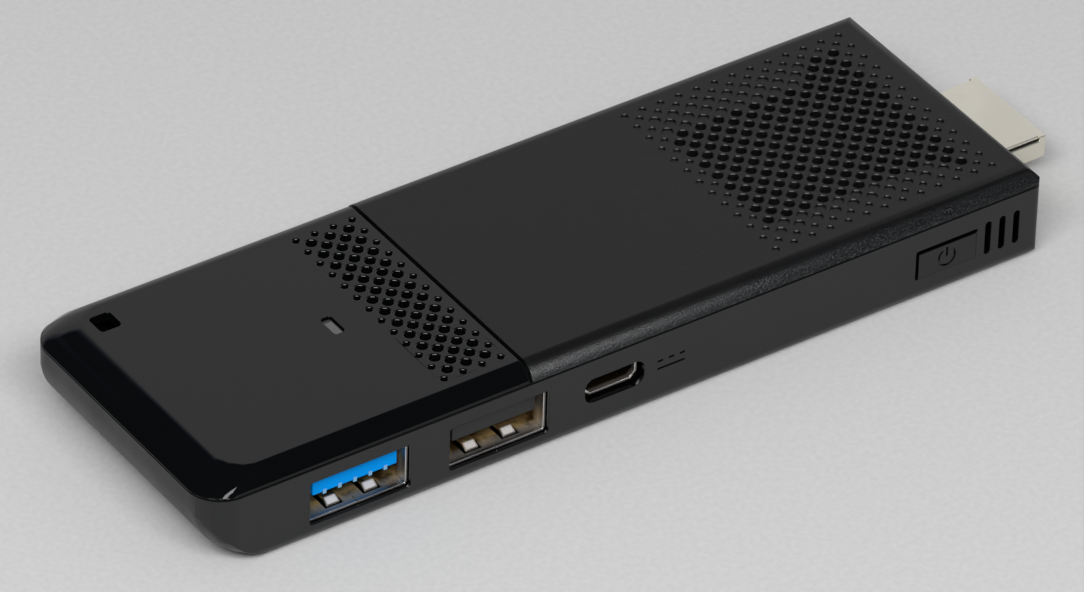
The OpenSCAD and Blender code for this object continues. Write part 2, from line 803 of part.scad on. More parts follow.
// Main board, cut out around the sunk sockets and notched behind the button
module main_board() color("#1f5a3a") difference() {
  translate([0, 0, board_z]) linear_extrude(board_t) difference() {
    translate([(board_x0 + board_x1) / 2, 0]) rounded_rect(board_x1 - board_x0, 2 * board_y, board_corner_r);
    for (g = [usb3_from_end, usb2_from_end])
      translate([left_x + g - usb_out_w / 2 - port_gap, -side_y])
        square([usb_out_w + 2 * port_gap, port_sink + usb_depth + port_gap]);
    translate([button_x - button_l - button_end_slit, -side_y])
      square([button_l + button_end_slit + wall, wall + board_notch]);
  }
  for (p = screw_spots) translate([p[0], p[1], board_z - cut])
    cylinder(h = board_t + 2 * cut, d = screw_d + 2 * screw_gap);
}

// Screws that hold the board on its bosses
module board_screws() color("#b9bcc0") for (p = screw_spots) translate([p[0], p[1], board_top])
  difference() {
    shank = board_t + boss_h - bore_lift - screw_tip_gap;
    union() {
      cylinder(h = screw_head_h, d = screw_head_d);
      translate([0, 0, -shank]) cylinder(h = shank + screw_head_h / 2, d = screw_d);
    }
    translate([0, 0, screw_head_h]) for (a = [0, 90]) rotate([0, 0, a])
      cube([2 * screw_head_d / 3, cross_w, screw_head_h], center = true);
  }

// Shell of a USB socket: folded sheet with a seam and two leaf springs in its floor
module usb_shell(g) {
  floor_z = usb_z - usb_h / 2 - sheet;
  root = usb_y + leaf_from_mouth + leaf_l;
  hole_w = leaf_w + 2 * leaf_slot;
  hole_l = leaf_l + leaf_slot;
  translate([left_x + g, 0, 0]) {
    difference() {
      translate([0, 0, usb_z]) along_y(usb_y, usb_y + usb_depth) difference() {
        rounded_rect(usb_out_w, usb_out_h, sheet + shell_r);
        rounded_rect(usb_w, usb_h, shell_r);
      }
      for (s = [-1, 1]) translate([s * leaf_pitch / 2 - hole_w / 2, root - hole_l, floor_z - cut])
        cube([hole_w, hole_l, sheet + 2 * cut]);
      translate([-fold_w / 2, usb_y - cut, floor_z - cut]) cube([fold_w, fold_l + cut, sheet + 2 * cut]);
    }
    for (s = [-1, 1]) translate([s * leaf_pitch / 2 - leaf_w / 2, root, floor_z]) leaf_spring();
  }
}

// A leaf spring from its root: straight up to a bend, then dipping at its tip
module leaf_spring() {
  bend = leaf_tip - leaf_l;
  dip = leaf_rise / 6;
  rotate([90, 0, 90]) linear_extrude(leaf_w) polygon([[leaf_hold, 0], [bend, leaf_rise], [-leaf_l, dip],
    [-leaf_l, dip + leaf_t], [bend, leaf_rise + leaf_t], [leaf_hold, leaf_t]]);
}

// Tongue of a USB socket with the plastic block behind it
module usb_tongue(g) {
  y0 = usb_y + tongue_sink;
  y1 = usb_y + usb_depth;
  translate([left_x + g, 0, 0]) {
    translate([-tongue_w / 2, y0, tongue_z]) cube([tongue_w, y1 - y0, tongue_t]);
    translate([0, 0, usb_z]) along_y(y1 - usb_block, y1) rounded_rect(usb_w, usb_h, shell_r);
  }
}

// A row of contacts under a tongue
module usb_row(g, spots, w, y0, y1, t) {
  for (p = spots) translate([left_x + g + p - w / 2, y0, tongue_z - t]) cube([w, y1 - y0, t]);
}

// Blue socket: five more contacts, bent up over the tongue's tip
module usb3_shell() color("#b9bab8") usb_shell(usb3_from_end);
module usb3_tongue() color("#0a78e6") usb_tongue(usb3_from_end);
module usb3_contacts() color("#d9c48a") {
  usb_row(usb3_from_end, strip_spots, strip_w, strip_y0, strip_y1, strip_t);
  usb_row(usb3_from_end, dot_spots, dot_w, usb_y + tongue_sink - tip_t, dot_y + dot_l, dot_t);
  translate([0, 0, tip_h]) usb_row(usb3_from_end, dot_spots, dot_w, usb_y + tongue_sink - tip_t,
    usb_y + tongue_sink, dot_t + tip_h);
}

// Black socket
module usb2_shell() color("#b9b4a6") usb_shell(usb2_from_end);
module usb2_tongue() color("#1b1b1d") usb_tongue(usb2_from_end);
module usb2_contacts() color("#d9c48a")
  usb_row(usb2_from_end, strip_spots, strip_w, strip_y0, strip_y1, strip_t);

// Shell of the power inlet
module micro_usb_shell() color("#c4c2bb")
  translate([left_x + micro_from_end, 0, micro_z]) along_y(micro_y, micro_y + micro_depth) difference() {
    bevelled_outline(micro_w, micro_h, micro_bevel);
    bevelled_outline(micro_w, micro_h, micro_bevel, sheet);
  }

// Tongue of the power inlet
module micro_usb_tongue() color("#1b1b1d") {
  x = left_x + micro_from_end;
  translate([x - micro_tongue_w / 2, micro_y + tongue_sink, micro_tongue_z])
    cube([micro_tongue_w, micro_depth - tongue_sink, micro_tongue_t]);
  translate([x, 0, micro_z]) along_y(micro_y + micro_depth - micro_block, micro_y + micro_depth)
    bevelled_outline(micro_w, micro_h, micro_bevel, sheet);
}

// Contacts of the power inlet
module micro_usb_contacts() color("#d9c48a") for (i = [-2 : 2])
  translate([left_x + micro_from_end + i * micro_pin_pitch - micro_pin_w / 2,
    micro_y + tongue_sink + micro_pin_in, micro_tongue_z - strip_t])
    cube([micro_pin_w, micro_depth - tongue_sink - micro_pin_in - micro_block, strip_t]);

// Shell of the plug: folded sheet with a slit along each upper edge
module hdmi_shell() color("#c9c5b5") difference() {
  translate([0, 0, plug_z]) along_x(end_x - plug_in, end_x + plug_out) difference() {
    bevelled_outline(plug_w, plug_h, plug_bevel);
    bevelled_outline(plug_w, plug_h, plug_bevel, plug_sheet);
  }
  for (s = [-1, 1]) translate([end_x - wall, s > 0 ? plug_w / 2 - plug_sheet : -plug_w / 2 - cut,
    plug_z + plug_h / 2 - plug_slit])
    cube([plug_out + wall - plug_slit_end, plug_sheet + cut, plug_slit + cut]);
}

// Plastic core of the plug
module hdmi_insert() color("#19191b") translate([0, 0, plug_z]) difference() {
  along_x(end_x - plug_in, end_x + plug_out - core_sink)
    bevelled_outline(plug_w, plug_h, plug_bevel, plug_sheet + core_gap);
  along_x(end_x + plug_out - cavity_l, end_x + plug_out) rounded_rect(cavity_w, cavity_h, cavity_r);
}

// Contacts along the roof and floor of the core's cavity
module hdmi_contacts() color("#d9c48a") for (s = [-1, 1]) {
  count = s > 0 ? plug_pins : plug_pins - 1;
  for (i = [0 : count - 1]) translate([end_x + plug_out - cavity_l,
    (i - (count - 1) / 2) * pin_pitch - pin_w / 2, plug_z + s * (cavity_h - pin_t) / 2 - pin_t / 2])
    cube([cavity_l - pin_sink, pin_w, pin_t]);
}

// Places a piece at each corner of the fan
module fan_corners() {
  for (sx = [-1, 1], sy = [-1, 1]) translate([grid_x + sx * fan_corner, sy * fan_corner, 0]) children();
}

// Square base of the fan with its round chamber and an outlet towards the side slits
module fan_base() color("#26272a") difference() {
  translate([grid_x - fan_side / 2, -fan_side / 2, fan_z]) cube([fan_side, fan_side, lid_z - fan_z]);
  translate([grid_x, 0, fan_floor_z]) cylinder(h = lid_z - fan_z, r = fan_bore_r);
  translate([grid_x + fan_side / 8, -fan_side / 2 - cut, fan_floor_z])
    cube([fan_side / 4, fan_side / 2, lid_z - fan_z]);
  fan_corners() translate([0, 0, fan_z - cut]) cylinder(h = lid_z, d = fan_screw_d + 2 * screw_gap);
}

// Sheet lid of the fan with its inlet
module fan_lid() color("#8f9194") difference() {
  translate([grid_x, 0, lid_z]) linear_extrude(lid_t) difference() {
    rounded_rect(fan_side, fan_side, fan_corner_r);
    circle(d = inlet_d);
  }
  fan_corners() translate([0, 0, lid_z - cut])
    cylinder(h = lid_t + 2 * cut, d = fan_screw_d + 2 * screw_gap);
}

// Sleeve bearing on the base's floor
module fan_bearing() color("#b08d4a") translate([grid_x, 0, fan_floor_z]) difference() {
  cylinder(h = bearing_z1 - fan_floor_z, d = bearing_d);
  translate([0, 0, rotor_gap]) cylinder(h = bearing_z1, d = shaft_d + 2 * shaft_gap);
}

// Wound core around the bearing
module fan_stator() color("#8a4b2a") translate([grid_x, 0, fan_floor_z]) {
  inside = bearing_d / 2;
  outside = hub_d / 2 - hub_wall - stator_gap;
  difference() {
    cylinder(h = stator_h, r = inside + stator_ring);
    translate([0, 0, -cut]) cylinder(h = stator_h + 2 * cut, r = inside);
  }
  for (i = [0 : 3]) rotate([0, 0, i * 90]) translate([inside + stator_ring / 2, -stator_w / 2, 0])
    cube([outside - inside - stator_ring / 2, stator_w, stator_h]);
}

// Rotor: cup, shaft and swept blades
module fan_rotor() color("#1b1c1e") translate([grid_x, 0, 0]) {
  translate([0, 0, rotor_z0]) linear_extrude(rotor_z1 - rotor_z0) {
    difference() {
      circle(d = hub_d);
      circle(d = hub_d - 2 * hub_wall);
    }
    difference() {
      intersection() {
        circle(d = rotor_d);
        for (i = [0 : blades - 1]) rotate(i * 360 / blades) translate([hub_d / 2 - hub_wall / 2, 0])
          rotate(blade_sweep) translate([0, -blade_t / 2]) square([rotor_d / 2, blade_t]);
      }
      circle(d = hub_d - hub_wall);
    }
  }
  translate([0, 0, rotor_z1 - hub_wall]) cylinder(h = hub_wall, d = hub_d - hub_wall);
  translate([0, 0, shaft_z]) cylinder(h = rotor_z1 - hub_wall / 2 - shaft_z, d = shaft_d);
}

// Screws through the fan's lid and base into the spreader's legs
module fan_screws() color("#9a9da1") fan_corners() {
  translate([0, 0, fan_top]) cylinder(h = fan_screw_head_h, d = fan_screw_head_d);
  translate([0, 0, spreader_z]) cylinder(h = fan_top - spreader_z + fan_screw_head_h / 2, d = fan_screw_d);
}

// Plate that spreads the processor's heat under the fan, on four legs
module heat_spreader() color("#b87b4b") difference() {
  union() {
    translate([grid_x - fan_side / 2, -fan_side / 2, spreader_z]) cube([fan_side, fan_side, spreader_t]);
    fan_corners() translate([0, 0, board_top])
      cylinder(h = spreader_z - board_top + spreader_t / 2, d = leg_d);
  }
  fan_corners() translate([0, 0, board_top + screw_gap])
    cylinder(h = fan_z, d = fan_screw_d + 2 * screw_gap);
}

// A box that stands on the board, or hangs under it where h is below zero
module on_board(x, y, w, l, h) {
  translate([x - w / 2, y - l / 2, h > 0 ? board_top : board_z + h]) cube([w, l, abs(h)]);
}

// Pad between the processor and the spreader
module thermal_pad() color("#9fb0bd") translate([grid_x - cpu_side / 2, -cpu_side / 2, cpu_top])
  cube([cpu_side, cpu_side, pad_t]);

// Processor under the fan, with the memory on the board's other side
module processor() color("#2a2c2f") on_board(grid_x, 0, cpu_side, cpu_side, cpu_h);
module memory_chips() color("#1d1e20") for (sx = [-1, 1], sy = [-1, 1])
  on_board(grid_x + sx * memory_dx, sy * memory_dy, memory_w, memory_l, -chip_h);

// Flash chip beside the lamp
module storage_chip() color("#1d1e20") on_board(storage_x, chip_y, storage_w, storage_l, chip_h);

// Tin box over the radio, on the lamp's other side
module wifi_shield() color("#c2c4c6") difference() {
  on_board(wifi_x, chip_y, wifi_w, wifi_l, wifi_h);
  on_board(wifi_x, chip_y, wifi_w - 2 * card_sheet, wifi_l - 2 * card_sheet, wifi_h - card_sheet);
}

// Two ceramic aerials at the board's glossy end
module antennas() color("#d9d4c3") for (s = [-1, 1])
  on_board(board_x0 + aerial_gap + aerial_w / 2, s * aerial_y, aerial_w, aerial_l, aerial_h);

// Wire-wound chokes of the supply
module power_chokes() color("#4a4c50") for (i = [0 : 2])
  on_board(choke_x0 + i * choke_pitch, choke_y, choke_w, choke_w, choke_h);

// Small capacitors beside the chokes
module capacitors() color("#b6a183") for (i = [0 : 7])
  on_board(choke_x0 + i * cap_pitch, cap_y, cap_w, cap_l, cap_h);

// Floor and back of the card socket
module card_socket_base() color("#1b1b1d") {
  on_board(card_x, card_mid_y, card_w - 2 * card_sheet, card_depth, card_floor);
  on_board(card_x, card_y0 + card_back / 2, card_w - 2 * card_sheet, card_back, card_h - card_sheet);
}

// Sheet cover of the card socket
module card_socket_cover() color("#c2c4c6") difference() {
  on_board(card_x, card_mid_y, card_w, card_depth, card_h);
  translate([card_x - card_w / 2 + card_sheet, card_y0 - cut, board_top - cut])
    cube([card_w - 2 * card_sheet, card_depth + 2 * cut, card_h - card_sheet + cut]);
}

// Slider that the card's edge pushes in
module card_slider() color("#e4e2da")
  translate([card_x - card_w / 2 + card_sheet + slider_gap, card_y1 - slider_in - slider_l,
    board_top + card_floor + slider_gap])
    cube([slider_w, slider_l, card_h - card_floor - card_sheet - 2 * slider_gap]);

bottom_tray();
top_cover();
gloss_cover();
led_light_pipe();
led_chip();
power_button();
switch_body();
switch_plunger();
main_board();
board_screws();
usb3_shell();
usb3_tongue();
usb3_contacts();
usb2_shell();
usb2_tongue();
usb2_contacts();
micro_usb_shell();
micro_usb_tongue();
micro_usb_contacts();
hdmi_shell();
hdmi_insert();
hdmi_contacts();
fan_base();
fan_lid();
fan_bearing();
fan_stator();
fan_rotor();
fan_screws();
heat_spreader();
thermal_pad();
processor();
memory_chips();
storage_chip();
wifi_shield();
antennas();
power_chokes();
capacitors();
card_socket_base();
card_socket_cover();
card_slider();
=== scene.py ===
import bpy
import numpy as np
from mathutils import Matrix, Vector


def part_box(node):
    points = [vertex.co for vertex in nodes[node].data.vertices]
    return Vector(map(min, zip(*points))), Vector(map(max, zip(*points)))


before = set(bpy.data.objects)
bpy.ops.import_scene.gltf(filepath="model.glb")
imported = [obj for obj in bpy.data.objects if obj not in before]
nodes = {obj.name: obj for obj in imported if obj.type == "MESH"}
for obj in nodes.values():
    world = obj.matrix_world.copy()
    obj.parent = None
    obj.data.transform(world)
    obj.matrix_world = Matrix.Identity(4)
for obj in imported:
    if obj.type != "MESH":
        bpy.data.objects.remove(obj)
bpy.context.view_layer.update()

# The tray: the lower half of the case, injection moulded in charcoal plastic with a smooth satin skin.
# Its slits, port windows and rim keep the small radii that the mould leaves.


def add(tree, kind, inputs=None, **settings):
    """Adds a node to a tree. An input is a value or another node's socket."""
    node = tree.nodes.new(kind)
    for key, value in settings.items():
        setattr(node, key, value)
    for key, value in (inputs or {}).items():
        socket = node.inputs[key]
        if isinstance(value, bpy.types.NodeSocket):
            tree.links.new(value, socket)
        else:
            socket.default_value = value
    return node


def group(name, takes, gives):
    """Starts a shader node group. takes maps an input's name to its kind and value, gives an output's to its kind."""
    tree = bpy.data.node_groups.new(name, "ShaderNodeTree")
    for key, (kind, value) in takes.items():
        socket = tree.interface.new_socket(key, in_out="INPUT", socket_type=kind)
        if value is not None:
            socket.default_value = value
    for key, kind in gives.items():
        tree.interface.new_socket(key, in_out="OUTPUT", socket_type=kind)
    return tree, tree.nodes.new("NodeGroupInput").outputs, tree.nodes.new("NodeGroupOutput")


def ramp(tree, socket, low, high, to_low=0.0, to_high=1.0):
    """Maps a socket's span from low to high onto to_low to to_high, held at both ends."""
    return add(tree, "ShaderNodeMapRange", {"Value": socket, "From Min": low, "From Max": high,
                                            "To Min": to_low, "To Max": to_high}).outputs[0]


def blend(tree, share, first, second):
    """Mixes two colours by a share."""
    node = add(tree, "ShaderNodeMix", data_type="RGBA")
    for key, value in ((0, share), (6, first), (7, second)):
        if isinstance(value, bpy.types.NodeSocket):
            tree.links.new(value, node.inputs[key])
        else:
            node.inputs[key].default_value = value
    return node.outputs[2]


def grey(value, warm=0.0):
    """A linear grey, made warmer above zero and cooler below."""
    return (value * (1 + warm), value, value * (1 - warm), 1)


def material(name, **values):
    """A new material with its tree, its shader and its object coordinates."""
    made = bpy.data.materials.new(name)
    made.use_nodes = True
    tree = made.node_tree
    shader = tree.nodes["Principled BSDF"]
    for key, value in values.items():
        shader.inputs[key.replace("_", " ")].default_value = value
    place = tree.nodes.new("ShaderNodeTexCoord").outputs["Object"]
    return made, tree, shader, place


def feed(tree, shader, **sockets):
    """Links sockets to the shader's inputs by name."""
    for key, socket in sockets.items():
        tree.links.new(socket, shader.inputs[key.replace("_", " ")])


# Grain of a spark-eroded mould: rounded cells of a given size with finer noise over them
tree, takes, gives = group("moulded_grain", {"Vector": ("NodeSocketVector", None),
                                             "Size": ("NodeSocketFloat", 0.0002)},
                           {"Height": "NodeSocketFloat", "Patch": "NodeSocketFloat"})
count = add(tree, "ShaderNodeMath", {0: 1.0, 1: takes["Size"]}, operation="DIVIDE").outputs[0]
cells = add(tree, "ShaderNodeTexVoronoi", {"Vector": takes["Vector"], "Scale": count}, feature="SMOOTH_F1")
cells.inputs["Smoothness"].default_value = 0.6
fine = add(tree, "ShaderNodeTexNoise", {"Vector": takes["Vector"], "Scale": count, "Detail": 3.0})
height = add(tree, "ShaderNodeMath", {0: cells.outputs["Distance"], 1: fine.outputs[0]}, operation="MULTIPLY")
patches_per_metre = 140.0
patch = add(tree, "ShaderNodeTexNoise", {"Vector": takes["Vector"], "Scale": patches_per_metre, "Detail": 2.0})
tree.links.new(height.outputs[0], gives.inputs["Height"])
tree.links.new(patch.outputs[0], gives.inputs["Patch"])
moulded_grain = tree


def grain_of(tree, place, size):
    """A grain group's outputs at a cell size in metres."""
    node = add(tree, "ShaderNodeGroup", node_tree=moulded_grain)
    tree.links.new(place, node.inputs["Vector"])
    node.inputs["Size"].default_value = size
    return node.outputs


def bump(tree, shader, height, depth, strength=1.0):
    """Gives the shader a bump of a height socket, depth metres deep."""
    node = add(tree, "ShaderNodeBump", {"Height": height, "Distance": depth, "Strength": strength})
    feed(tree, shader, Normal=node.outputs[0])


# Joins a node's loose triangles and shades them smooth up to an angle, so that round faces look round.
# It also marks the sharp outer edges to be rounded, apart from those inside a box from Low to High.
soft = bpy.data.node_groups.new("smooth_by_angle", "GeometryNodeTree")
soft.interface.new_socket("Geometry", in_out="INPUT", socket_type="NodeSocketGeometry")
angle_key, low_key, high_key, edge_key = [
    soft.interface.new_socket(key, in_out="INPUT", socket_type="NodeSocket" + kind).identifier
    for key, kind in (("Angle", "Float"), ("Low", "Vector"), ("High", "Vector"), ("Edge", "Float"))]
soft.interface.new_socket("Geometry", in_out="OUTPUT", socket_type="NodeSocketGeometry")
came = soft.nodes.new("NodeGroupInput").outputs
went = soft.nodes.new("NodeGroupOutput")
same_point = 1e-6
joined = add(soft, "GeometryNodeMergeByDistance", {"Geometry": came[0], "Distance": same_point})
smooth = add(soft, "GeometryNodeSetShadeSmooth", {0: joined.outputs[0]}, domain="FACE")
turn = add(soft, "GeometryNodeInputMeshEdgeAngle")
steep = add(soft, "FunctionNodeCompare", {0: turn.outputs[0], 1: came[1]}, data_type="FLOAT",
            operation="GREATER_THAN")
sharp = add(soft, "GeometryNodeSetShadeSmooth", {0: smooth.outputs[0], 1: steep.outputs[0], 2: False}, domain="EDGE")
spot = add(soft, "GeometryNodeInputPosition").outputs[0]
above = add(soft, "FunctionNodeCompare", {4: spot, 5: came[2]}, data_type="VECTOR", mode="ELEMENT",
            operation="GREATER_THAN")
below = add(soft, "FunctionNodeCompare", {4: spot, 5: came[3]}, data_type="VECTOR", mode="ELEMENT",
            operation="LESS_THAN")
inside = add(soft, "FunctionNodeBooleanMath", {0: above.outputs[0], 1: below.outputs[0]}, operation="AND")
outer = add(soft, "FunctionNodeCompare", {0: turn.outputs[1], 1: came[4]}, data_type="FLOAT",
            operation="GREATER_THAN")
marked = add(soft, "FunctionNodeBooleanMath", {0: outer.outputs[0], 1: inside.outputs[0]}, operation="NIMPLY")
weighed = add(soft, "GeometryNodeStoreNamedAttribute", {"Geometry": sharp.outputs[0], "Name": "bevel_weight_edge",
                                                        "Value": marked.outputs[0]}, data_type="FLOAT", domain="EDGE")
soft.links.new(weighed.outputs[0], went.inputs[0])
smooth_below, flat_below, edge_segments = 0.5, 0.004, 3


def dress(names, made, edge=0.0, apart=((1, 1, 1), (0, 0, 0)), sharp_from=0.9, held=True):
    """Gives nodes a material, smooth round faces and, where edge is above zero, outer edges rounded to that radius.

    An edge counts as sharp from the angle sharp_from, and edges inside the box between the two corners of apart stay.
    held keeps the radius small enough for the shortest edge.
    """
    for name in names.split():
        piece = nodes[name]
        piece.data.materials.clear()
        piece.data.materials.append(made)
        join = piece.modifiers.new("joined", "NODES")
        join.node_group = soft
        join[angle_key], join[low_key], join[high_key], join[edge_key] = smooth_below, apart[0], apart[1], sharp_from
        if edge:
            flat = piece.modifiers.new("flats", "DECIMATE")
            flat.decimate_type, flat.angle_limit = "DISSOLVE", flat_below
            round_off = piece.modifiers.new("edges", "BEVEL")
            round_off.width, round_off.segments, round_off.limit_method = edge, edge_segments, "WEIGHT"
            round_off.harden_normals, round_off.use_clamp_overlap = True, held
        piece.modifiers.new("flat_faces", "WEIGHTED_NORMAL").keep_sharp = True


def span(tree, socket, low, high, fade=0.00005):
    """A mask that is 1 where a socket lies between low and high, with a short fade at both ends."""
    rises = ramp(tree, socket, low - fade, low)
    falls = ramp(tree, socket, high, high + fade, 1.0, 0.0)
    return add(tree, "ShaderNodeMath", {0: rises, 1: falls}, operation="MULTIPLY").outputs[0]


def both(tree, first, second):
    """Where two masks hold together."""
    return add(tree, "ShaderNodeMath", {0: first, 1: second}, operation="MULTIPLY").outputs[0]


# Painted shade in the port side's wall: a mask that is 1 on the faces inside its slits, windows and engraved marks,
# where no light gets in, so that they are painted nearly black
case_low, case_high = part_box("bottom_tray")
wall, past_wall = 0.0012, 0.0002
mark_floor, mark_fade = 0.00018, 0.00008
sill_z, lintel_z = 0.002, 0.0093
round_end, plug_end = 0.006, 0.0015
tree, takes, gives = group("painted_wall_shade", {"Vector": ("NodeSocketVector", None)}, {"Mask": "NodeSocketFloat"})
x, y, z = add(tree, "ShaderNodeSeparateXYZ", {0: takes["Vector"]}).outputs
deep = span(tree, y, case_low[1] + mark_floor, case_low[1] + wall + past_wall, mark_fade)
high_up = span(tree, z, sill_z, lintel_z)
along = span(tree, x, case_low[0] + round_end, case_high[0] - plug_end)
tree.links.new(both(tree, both(tree, deep, high_up), along), gives.inputs["Mask"])
painted_wall_shade = tree


def case_plastic(name, dark, light):
    """Satin moulded plastic between two greys, with painted shade, nearly black, on the faces inside the port side's
    wall.
    """
    made, tree, shader, place = material(name, Specular_IOR_Level=0.45)
    grain = grain_of(tree, place, 0.00012)
    wall_shade = add(tree, "ShaderNodeGroup", node_tree=painted_wall_shade)
    tree.links.new(place, wall_shade.inputs["Vector"])
    skin = blend(tree, grain["Patch"], grey(dark, -0.04), grey(light, -0.04))
    rough = ramp(tree, grain["Patch"], 0.3, 0.7, 0.36, 0.46)
    drop = ramp(tree, wall_shade.outputs[0], 0.0, 1.0, 1.0, 0.4)
    # Painted shade: the mask turns the skin nearly black on the faces inside the wall
    feed(tree, shader, Base_Color=blend(tree, wall_shade.outputs[0], skin, grey(0.001)),
         Roughness=both(tree, rough, drop))
    bump(tree, shader, grain["Height"], 0.000006)
    return made


# The button's root, below and beside it, is one skin with the wall, so its edges there stay sharp
tab_low, tab_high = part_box("power_button")
root_past, free_end, free_top, outside = 0.0003, 0.001, 0.0006, 0.001
root = ((tab_low[0] + free_end, case_low[1] - outside, tab_low[2] - root_past),
        (tab_high[0] + root_past, case_low[1] + wall, tab_high[2] - free_top))
dress("bottom_tray", case_plastic("satin_charcoal_plastic", 0.0068, 0.0085), edge=0.00012, apart=root)

# The board and what stands on it: woven glass under green lacquer, black moulded chips, tin boxes,
# wire-wound chokes and ceramic parts, all soldered flat.
board_skin, tree, shader, place = material("green_board", Roughness=0.35)
trace = add(tree, "ShaderNodeTexBrick", {"Vector": place, "Scale": 420.0, "Mortar Size": 0.03,
                                         "Color1": (0.01, 0.09, 0.04, 1), "Color2": (0.013, 0.11, 0.05, 1),
                                         "Mortar": (0.03, 0.17, 0.08, 1)})
board_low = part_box("main_board")[0]
# Painted shade: the board's front strip under the port side is nearly black up to 0.5 mm in and fades to the lacquer
# by 2 mm in
shade_fade_from, shade_fade_to = board_low[1] + 0.0005, board_low[1] + 0.002
front_shade_fade = ramp(tree, add(tree, "ShaderNodeSeparateXYZ", {0: place}).outputs[1], shade_fade_from, shade_fade_to)
feed(tree, shader, Base_Color=blend(tree, front_shade_fade, (0.004, 0.0035, 0.002, 1), trace.outputs[0]))
bump(tree, shader, trace.outputs[1], 0.00002)
dress("main_board", board_skin)

chip_skin, tree, shader, place = material("moulded_chip")
grain = grain_of(tree, place, 0.0001)
feed(tree, shader, Base_Color=blend(tree, grain["Patch"], grey(0.012), grey(0.02)),
     Roughness=ramp(tree, grain["Patch"], 0.3, 0.7, 0.45, 0.6))
bump(tree, shader, grain["Height"], 0.000008)
dress("processor memory_chips storage_chip power_chokes", chip_skin)

tin_skin, tree, shader, place = material("tinned_sheet", Metallic=1.0)
grain = grain_of(tree, place, 0.0004)
feed(tree, shader, Base_Color=blend(tree, grain["Patch"], grey(0.5), grey(0.62)),
     Roughness=ramp(tree, grain["Patch"], 0.3, 0.7, 0.25, 0.4))
bump(tree, shader, grain["Patch"], 0.00001)
dress("wifi_shield card_socket_cover board_screws fan_screws", tin_skin)

pale_skin, tree, shader, place = material("pale_ceramic_and_resin")
grain = grain_of(tree, place, 0.0001)
feed(tree, shader, Base_Color=blend(tree, grain["Patch"], grey(0.6, 0.05), grey(0.7, 0.04)),
     Roughness=ramp(tree, grain["Patch"], 0.3, 0.7, 0.4, 0.55))
bump(tree, shader, grain["Height"], 0.000004)
dress("antennas capacitors led_chip switch_body card_slider", pale_skin)

# The button: a tab of the side wall, cut free by two slits, in a darker grey than the wall.
dress("power_button", case_plastic("darker_tab_plastic", 0.004, 0.0055), edge=0.0001, apart=root)

# The sockets: shells folded from nickel-plated sheet, each with two stamped leaf springs in its floor, around moulded
# tongues with gilt contacts. Deeper in, the sheet has a painted brassy glow and painted shade, the leaves a painted
# highlight, and the micro-USB inlet painted shade.
mouth_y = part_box("usb3_shell")[0][1]
floor_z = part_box("usb3_shell")[0][2]
leaf_tip = mouth_y + 0.001
leaf_bend = leaf_tip + 0.0009
leaf_off, leaf_half = 0.0025, 0.0006
leaf_low, leaf_high = floor_z + 0.0004, floor_z + 0.0025
plated_to, brassy_from = mouth_y + 0.0003, mouth_y + 0.002
socket_skin, tree, shader, place = material("nickel_socket_sheet")
grain = grain_of(tree, place, 0.0002)
smear = add(tree, "ShaderNodeTexNoise", {"Vector": place, "Scale": 500.0, "Detail": 2.0}).outputs[0]
x, y, z = add(tree, "ShaderNodeSeparateXYZ", {0: place}).outputs
nickel = blend(tree, grain["Patch"], grey(0.78, 0.03), grey(0.88, 0.04))
inner = ramp(tree, y, plated_to, brassy_from)
# Painted reflection and shade: deeper in, the nickel turns a brassy glow with dark patches
brassy_glow = blend(tree, ramp(tree, smear, 0.42, 0.6), (0.1, 0.06, 0.02, 1), (0.68, 0.46, 0.19, 1))
tips = []
for name in ("usb3_shell", "usb2_shell"):
    middle = sum(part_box(name)[k][0] for k in (0, 1)) / 2
    away = add(tree, "ShaderNodeMath", {0: x, 1: middle}, operation="SUBTRACT").outputs[0]
    away = add(tree, "ShaderNodeMath", {0: away}, operation="ABSOLUTE").outputs[0]
    tips.append(span(tree, away, leaf_off - leaf_half, leaf_off + leaf_half, 0.0002))
leaf = both(tree, span(tree, z, leaf_low, leaf_high), span(tree, y, leaf_tip, leaf_bend, 0.0003))
# Painted highlight: the leaf springs are painted pale and half diffuse, brighter than the sheet around them
leaf_highlight = both(tree, leaf, add(tree, "ShaderNodeMath", {0: tips[0], 1: tips[1]}, use_clamp=True).outputs[0])
inlet_low, inlet_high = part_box("micro_usb_shell")
rim_to, dark_from = inlet_low[1] + 0.0002, inlet_low[1] + 0.0008
# Painted shade: past its rim the micro-USB inlet is painted dark
inlet_shade = both(tree, span(tree, x, inlet_low[0], inlet_high[0], 0.0002), ramp(tree, y, rim_to, dark_from))
sheet = blend(tree, inlet_shade, blend(tree, inner, nickel, brassy_glow), (0.03, 0.02, 0.008, 1))
feed(tree, shader, Base_Color=blend(tree, leaf_highlight, sheet, grey(0.8, 0.04)),
     Metallic=both(tree, ramp(tree, leaf_highlight, 0.0, 1.0, 1.0, 0.5), ramp(tree, inner, 0.0, 1.0, 1.0, 0.65)),
     Roughness=ramp(tree, grain["Patch"], 0.3, 0.7, 0.25, 0.36))
bump(tree, shader, grain["Patch"], 0.00001)
dress("usb3_shell usb2_shell micro_usb_shell", socket_skin, edge=0.00006, held=False)

gilt_skin, tree, shader, place = material("gilt_contacts", Metallic=1.0)
grain = grain_of(tree, place, 0.0001)
feed(tree, shader, Base_Color=blend(tree, grain["Patch"], (0.75, 0.6, 0.36, 1), (0.9, 0.75, 0.5, 1)),
     Roughness=ramp(tree, grain["Patch"], 0.3, 0.7, 0.2, 0.3))
dress("usb2_contacts micro_usb_contacts hdmi_contacts", gilt_skin)

